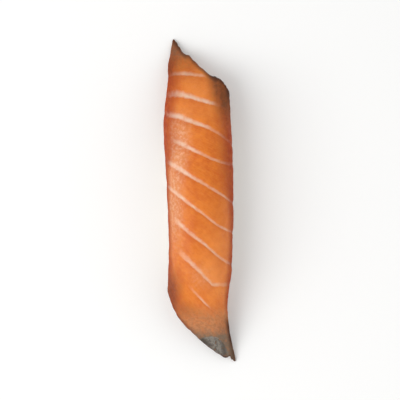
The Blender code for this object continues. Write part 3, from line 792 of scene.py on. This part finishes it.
def grainsOverBlock(cover, corners, spots):
    # grains lie nearly flat against the block in two layers, turned at random
    found = []
    for inset, spacing, proudest in rice["layers"]:
        layerSpots = []
        for _ in range(rice["grainTries"]):
            turn = random.uniform(0, fullTurn)
            share = random.uniform(-rice["farthestShare"], rice["farthestShare"])
            spot = blockPoint(turn, share, inset)
            if spot.z < rice["lowestSpot"] or any((spot - other).length < spacing for other in layerSpots):
                continue
            shape = grainShape()
            outwards = blockNormal(turn, share)
            stand = outwards * random.uniform(-rice["grainSinks"], proudest)
            pose = Matrix.Translation(spot + stand) @ outwards.to_track_quat("Z", "X").to_matrix().to_4x4()
            pose = pose @ Matrix.Rotation(random.uniform(0, fullTurn), 4, "Z")
            pose = pose @ Matrix.Rotation(random.uniform(-rice["grainTilt"], rice["grainTilt"]), 4, "Y")
            pose = pose @ Matrix.Rotation(random.uniform(0, fullTurn), 4, "X")
            placed, lift = laid(pose, corners, shape)
            if lift > rice["mostLift"] or not all(isClear(point, cover) for point in placed):
                continue
            layerSpots.append(spot)
            found.append([point + Vector((0, 0, lift)) for point in placed])
        spots += layerSpots
    return found


def grainsUnderneath(corners, spots):
    # grains pressed flat on the table
    found = []
    reachX, reachY = rice["underReach"]
    for _ in range(rice["underTries"]):
        spot = Vector((random.uniform(-reachX, reachX), random.uniform(-reachY, reachY), rice["underHeight"]))
        if any((spot - other).length < rice["layers"][-1][1] for other in spots):
            continue
        shape = grainShape()
        pose = Matrix.Translation(spot) @ Matrix.Rotation(random.uniform(0, fullTurn), 4, "Z")
        pose = pose @ Matrix.Rotation(random.uniform(-rice["underTilt"], rice["underTilt"]), 4, "Y")
        placed, lift = laid(pose, corners, shape)
        spots.append(spot)
        found.append([point + Vector((0, 0, lift)) for point in placed])
    return found


def makeRiceGrains(cover):
    grain = makeGrain()
    corners = [vertex.co / mm for vertex in grain.data.vertices]
    spots = []
    placedGrains = grainsOverBlock(cover, corners, spots)
    placedGrains += grainsUnderneath(corners, spots)
    copies = []
    for placed in placedGrains:
        copy = bpy.data.objects.new("grain", grain.data.copy())
        bpy.context.scene.collection.objects.link(copy)
        for vertex, point in zip(copy.data.vertices, placed):
            vertex.co = point * mm
        tone = copy.data.attributes.new("grainTone", "FLOAT", "POINT")
        tone.data.foreach_set("value", [random.random()] * len(placed))
        copies.append(copy)
    bpy.data.objects.remove(grain, do_unlink=True)
    deselectAll()
    for copy in copies:
        copy.select_set(True)
    bpy.context.view_layer.objects.active = copies[0]
    bpy.ops.object.join()
    piece = bpy.context.object
    piece.name = "riceGrains"
    print("rice:", len(copies), "grains,", len(piece.data.polygons), "faces")
    return piece


riceColours = {
    "pressedRice": ("#f3ede1", "#e8e0d0"),
    "cookedRiceGrain": ("#f9f4e8", "#ede5d3"),
}


def makeRiceMaterial(name, tonePerGrain):
    # cooked short-grain rice: starchy ivory that lets light in, under a thin sticky film; it has clouds of
    # 2.4 mm and pits of 0.7 mm, whose scales are for Object coordinates, in metres
    material, tree = newMaterial(name)
    pale, dark = [srgb(colour) for colour in riceColours[name]]
    where = addNode(tree, "TexCoord").outputs["Object"]
    cloud = addNode(tree, "TexNoise", {"Scale": 420.0, "Detail": 3.0}, {"Vector": where})
    mixBy = addNode(tree, "MapRange", {"From Min": 0.3, "From Max": 0.7}, {"Value": cloud.outputs["Fac"]})
    if tonePerGrain:
        tone = addNode(tree, "Attribute", {"attribute_name": "grainTone"})
        mixBy = addNode(tree, "Math", {"operation": "MULTIPLY_ADD", 1: 0.4, "use_clamp": True},
                        {0: mixBy.outputs[0], 2: tone.outputs["Fac"]})
    colour = addNode(tree, "Mix", {"data_type": "RGBA", 6: pale, 7: dark}, {0: mixBy.outputs[0]})
    pits = addNode(tree, "TexNoise", {"Scale": 1500.0, "Detail": 3.0}, {"Vector": where})
    bump = addNode(tree, "Bump", {"Strength": 0.5, "Distance": 0.00008}, {"Height": pits.outputs["Fac"]})
    shader = addNode(tree, "BsdfPrincipled", {
        "Roughness": 0.34, "IOR": 1.40, "Subsurface Weight": 0.3, "Subsurface Radius": (1.0, 0.96, 0.88),
        "Subsurface Scale": 0.0010, "Coat Weight": 0.45, "Coat Roughness": 0.14,
    }, {"Base Color": colour.outputs[2], "Normal": bump.outputs[0]})
    addNode(tree, "OutputMaterial", links={"Surface": shader.outputs[0]})
    return material


salmonCover = BVHTree.FromObject(salmonSlice, bpy.context.evaluated_depsgraph_get())
riceCore = makeRiceCore(salmonCover)
riceCore.data.materials.append(makeRiceMaterial("pressedRice", False))
riceGrains = makeRiceGrains(salmonCover)
riceGrains.data.materials.append(makeRiceMaterial("cookedRiceGrain", True))
for piece in (riceCore, riceGrains):
    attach(piece, "root")
    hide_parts("rice_finger")
print("rice done")


# The studio, in metres: a pale floor, an even surround, a soft light from the left and a long low one beyond
# it for the sheen. The piece's length fills about this share of the picture.
studio = {
    "floor": "#fafaf9", "floorSize": 6, "surround": 0.78,
    "lens": 200.0, "sensor": 36, "share": 0.82, "middleZ": 0.013, "target": (0, 0, 0.012),
    "lights": {
        "keyLight": {"place": (-0.50, -0.20, 0.60), "size": (0.45, 0.70), "power": 2.8, "onDiffuse": True},
        "sheenLight": {"place": (-0.77, -0.02, 0.24), "size": (0.34, 1.0), "power": 3.0, "onDiffuse": False},
    },
}


def makeFloor():
    deselectAll()
    bpy.ops.mesh.primitive_plane_add(size=studio["floorSize"], location=(0, 0, 0))
    floor = bpy.context.object
    floor.name = "floor"
    material, tree = newMaterial("paleFloor")
    shader = addNode(tree, "BsdfPrincipled",
                     {"Base Color": srgb(studio["floor"]), "Roughness": 0.8, "Specular IOR Level": 0.1})
    addNode(tree, "OutputMaterial", links={"Surface": shader.outputs[0]})
    floor.data.materials.append(material)


def makeLights():
    world = bpy.data.worlds.new("softSurround")
    world.use_nodes = True
    tree = world.node_tree
    tree.nodes.clear()
    sky = addNode(tree, "Background", {"Color": (1, 1, 1, 1), "Strength": studio["surround"]})
    addNode(tree, "OutputWorld", links={"Surface": sky.outputs[0]})
    bpy.context.scene.world = world
    for name, settings in studio["lights"].items():
        data = bpy.data.lights.new(name, "AREA")
        data.shape = "RECTANGLE"
        data.size, data.size_y = settings["size"]
        data.energy = settings["power"]
        light = bpy.data.objects.new(name, data)
        light.location = settings["place"]
        light.rotation_euler = (Vector(studio["target"]) - light.location).to_track_quat("-Z", "Y").to_euler()
        light.visible_camera = False
        light.visible_diffuse = settings["onDiffuse"]
        bpy.context.scene.collection.objects.link(light)


def makeCamera():
    # it isn't turned, so it looks straight down, with the photo's upper edge towards +Y
    data = bpy.data.cameras.new("camera")
    data.lens = studio["lens"]
    data.sensor_width = studio["sensor"]
    low, high = cadBox
    span = (high[1] - low[1]) / studio["share"]
    camera = bpy.data.objects.new("camera", data)
    height = studio["middleZ"] + span * data.lens / data.sensor_width
    camera.location = ((low[0] + high[0]) / 2, (low[1] + high[1]) / 2, height)
    bpy.context.scene.collection.objects.link(camera)
    bpy.context.scene.camera = camera


makeFloor()
makeLights()
makeCamera()
bpy.context.scene.view_settings.view_transform = "Standard"
print("studio done")
